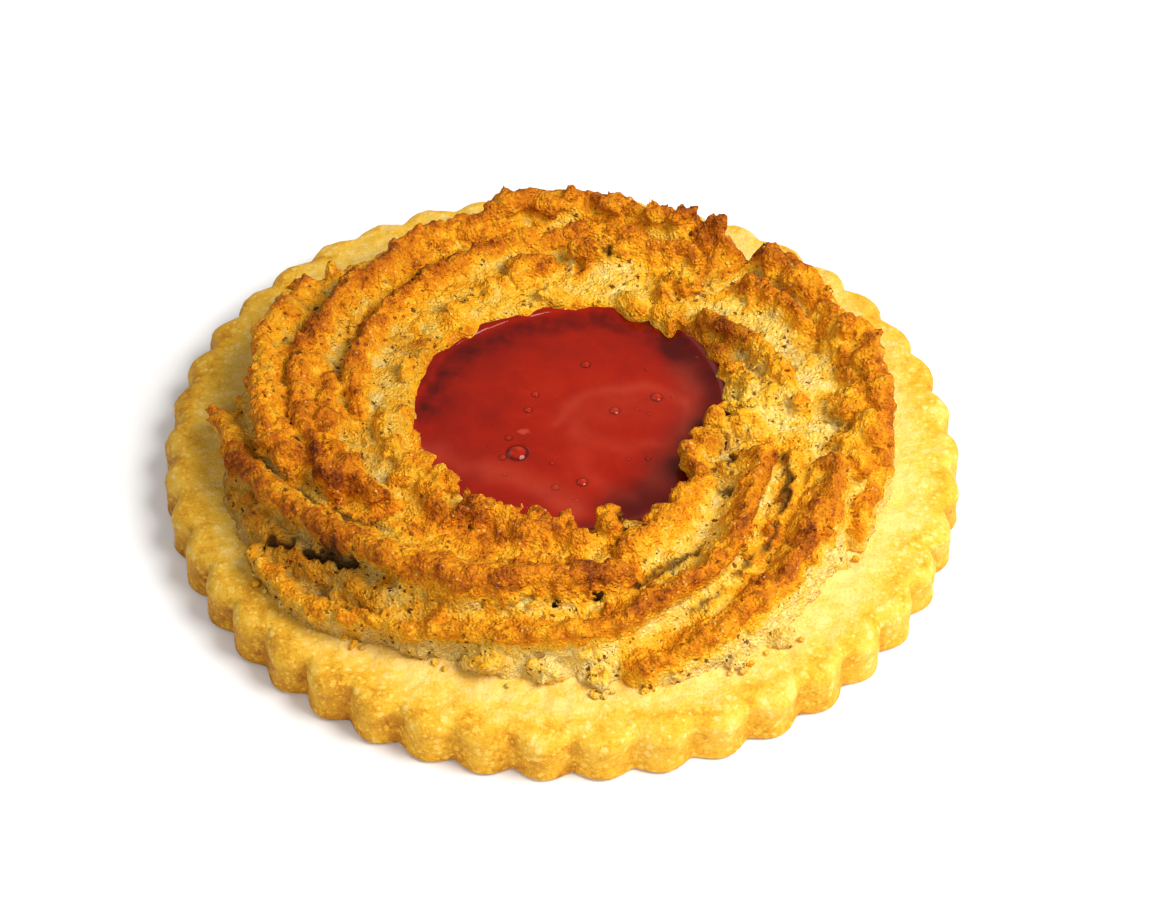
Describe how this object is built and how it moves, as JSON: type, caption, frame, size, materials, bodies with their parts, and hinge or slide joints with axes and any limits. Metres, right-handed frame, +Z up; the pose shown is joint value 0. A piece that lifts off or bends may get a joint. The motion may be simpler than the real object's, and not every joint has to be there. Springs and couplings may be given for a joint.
{
  "type": "hazelnut cookie",
  "caption": "Round scalloped shortbread biscuit with a piped, browned hazelnut ring baked on it and glossy red jelly filling the middle.",
  "frame": {"origin": "middle of the flat underside of the shortbread disc, at the centre of its bounding box", "axes": "+Z up through the disc, -Y towards the side nearest the viewer in the picture, +X to the viewer's right"},
  "size_m": [0.0904, 0.0894, 0.0158],
  "materials": {
    "shortbread": "baked shortbread, pale yellow with golden mottled rim, matt and finely grained",
    "hazelnut_crumb": "coarse baked nut crumb, pale in the furrows and toasted brown on the crests, with dark specks",
    "jelly": "set fruit jelly, deep red, wet and glossy"
  },
  "bodies": {
    "root": {"shortbread_base": "shortbread", "hazelnut_ring": "hazelnut_crumb", "red_jelly": "jelly"}
  },
  "joints": []
}
